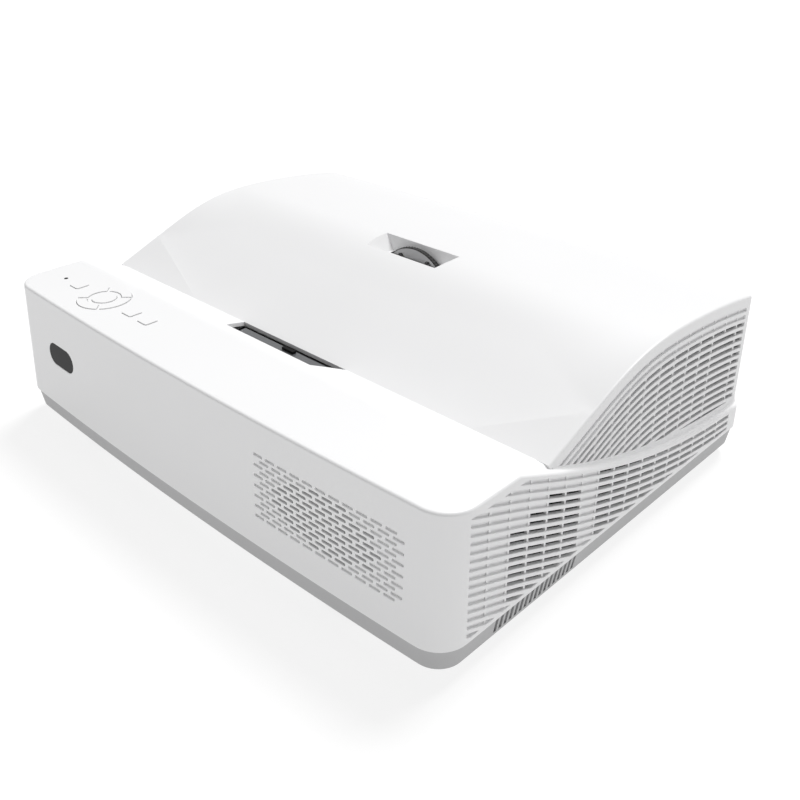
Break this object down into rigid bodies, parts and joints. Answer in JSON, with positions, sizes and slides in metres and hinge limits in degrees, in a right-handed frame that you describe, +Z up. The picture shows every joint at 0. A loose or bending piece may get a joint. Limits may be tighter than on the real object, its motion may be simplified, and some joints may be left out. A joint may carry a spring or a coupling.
{
  "type": "ultra-short-throw home projector",
  "caption": "White ultra-short-throw projector with a louvred hump, valley window, ledge keypad, front speaker grille, focus ring and screw feet.",
  "frame": {"origin": "on the resting plane, under the centre of the body", "axes": "+Z up, -Y towards the front wall with the loudspeaker, +X along the width to the right as seen from the front"},
  "size_m": [0.383, 0.303, 0.1185],
  "materials": {
    "aluminium": "extruded",
    "black_gloss": "gloss",
    "board": "solder mask",
    "dark_plastic": "matte",
    "filter_mesh": "woven",
    "focus_grey": "satin",
    "grey_base": "fine texture",
    "lens_glass": "coated",
    "mirror": "polished",
    "paper_cone": "pressed paper",
    "phosphor": "coated",
    "port_plate": "fine texture",
    "rubber": "matte",
    "rubber_grey": "matte",
    "socket_blue": "matte",
    "steel": "brushed",
    "white_key": "satin",
    "white_shell": "fine satin",
    "window_glass": "polished"
  },
  "bodies": {
    "chassis": {"base_pan": "grey_base", "main_cover": "white_shell", "hump_cover": "white_shell", "rear_cover": "white_shell", "io_panel": "port_plate", "projection_window": "window_glass", "window_frame": "dark_plastic", "proximity_sensor": "black_gloss", "ir_window": "black_gloss", "status_light_pipe": "black_gloss", "keypad_board": "board", "lens_barrel": "dark_plastic", "front_lens": "lens_glass", "curved_mirror": "mirror", "mirror_bracket": "dark_plastic", "light_engine": "steel", "mirror_chip_board": "board", "chip_heatsink": "aluminium", "laser_module": "steel", "laser_heatsink": "aluminium", "wheel_motor": "dark_plastic", "front_fan_frame": "dark_plastic", "side_fan_frame": "dark_plastic", "exhaust_fan_frame": "dark_plastic", "dust_filter": "filter_mesh", "main_board": "board", "power_supply": "board", "laser_driver_board": "board", "speaker_frame": "dark_plastic", "speaker_cone": "paper_cone", "speaker_magnet": "steel", "power_inlet": "dark_plastic", "hdmi_sockets": "steel", "usb_socket": "steel", "network_socket": "steel", "display_socket": "socket_blue", "audio_sockets": "dark_plastic", "rear_feet": "rubber_grey", "case_screws": "steel"},
    "power_button": {"power_button": "white_key"},
    "menu_button": {"menu_button": "white_key"},
    "source_button": {"source_button": "white_key"},
    "enter_button": {"enter_button": "white_key"},
    "up_button": {"up_button": "white_key"},
    "down_button": {"down_button": "white_key"},
    "left_button": {"left_button": "white_key"},
    "right_button": {"right_button": "white_key"},
    "focus_ring": {"focus_ring": "focus_grey"},
    "lens_rear_group": {"lens_rear_group": "lens_glass"},
    "front_fan_rotor": {"front_fan_rotor": "dark_plastic"},
    "side_fan_rotor": {"side_fan_rotor": "dark_plastic"},
    "exhaust_fan_rotor": {"exhaust_fan_rotor": "dark_plastic"},
    "phosphor_wheel": {"phosphor_wheel": "phosphor"},
    "left_foot": {"left_foot_screw": "steel", "left_foot_pad": "rubber"},
    "right_foot": {"right_foot_screw": "steel", "right_foot_pad": "rubber"}
  },
  "joints": [
    {"name": "power_button_press", "type": "slide", "parent": "chassis", "child": "power_button", "axis": [0, 0, -1], "range_m": [0, 0.0006], "stiffness_N_per_m": 900, "springref_m": -0.0006},
    {"name": "menu_button_press", "type": "slide", "parent": "chassis", "child": "menu_button", "axis": [0, 0, -1], "range_m": [0, 0.0006], "stiffness_N_per_m": 900, "springref_m": -0.0006},
    {"name": "source_button_press", "type": "slide", "parent": "chassis", "child": "source_button", "axis": [0, 0, -1], "range_m": [0, 0.0006], "stiffness_N_per_m": 900, "springref_m": -0.0006},
    {"name": "enter_button_press", "type": "slide", "parent": "chassis", "child": "enter_button", "axis": [0, 0, -1], "range_m": [0, 0.0006], "stiffness_N_per_m": 900, "springref_m": -0.0006},
    {"name": "up_button_press", "type": "slide", "parent": "chassis", "child": "up_button", "axis": [0, 0, -1], "range_m": [0, 0.0006], "stiffness_N_per_m": 900, "springref_m": -0.0006},
    {"name": "down_button_press", "type": "slide", "parent": "chassis", "child": "down_button", "axis": [0, 0, -1], "range_m": [0, 0.0006], "stiffness_N_per_m": 900, "springref_m": -0.0006},
    {"name": "left_button_press", "type": "slide", "parent": "chassis", "child": "left_button", "axis": [0, 0, -1], "range_m": [0, 0.0006], "stiffness_N_per_m": 900, "springref_m": -0.0006},
    {"name": "right_button_press", "type": "slide", "parent": "chassis", "child": "right_button", "axis": [0, 0, -1], "range_m": [0, 0.0006], "stiffness_N_per_m": 900, "springref_m": -0.0006},
    {"name": "focus_turn", "type": "hinge", "parent": "chassis", "child": "focus_ring", "pos_m": [0, 0.0435, 0.0884], "axis": [0, -1, 0], "range_deg": [-40, 40]},
    {"name": "focus_slide", "type": "slide", "parent": "chassis", "child": "lens_rear_group", "axis": [0, -1, 0], "range_m": [-0.003, 0.003]},
    {"name": "front_fan_spin", "type": "hinge", "parent": "chassis", "child": "front_fan_rotor", "pos_m": [0.177, -0.0687, 0.052], "axis": [1, 0, 0], "continuous": true},
    {"name": "side_fan_spin", "type": "hinge", "parent": "chassis", "child": "side_fan_rotor", "pos_m": [0.1768, 0.0215, 0.059], "axis": [1, 0, 0], "continuous": true},
    {"name": "exhaust_fan_spin", "type": "hinge", "parent": "chassis", "child": "exhaust_fan_rotor", "pos_m": [-0.1768, 0.0367, 0.066], "axis": [1, 0, 0], "continuous": true},
    {"name": "phosphor_spin", "type": "hinge", "parent": "chassis", "child": "phosphor_wheel", "pos_m": [-0.05, 0.09755, 0.066], "axis": [1, 0, 0], "continuous": true},
    {"name": "left_foot_screw_out", "type": "slide", "parent": "chassis", "child": "left_foot", "axis": [0, 0, -1], "range_m": [0, 0.008]},
    {"name": "right_foot_screw_out", "type": "slide", "parent": "chassis", "child": "right_foot", "axis": [0, 0, -1], "range_m": [0, 0.008]}
  ],
  "couplings": [
    {"joint": "focus_slide", "follows": "focus_turn", "m_per_rad": 0.0042972}
  ]
}
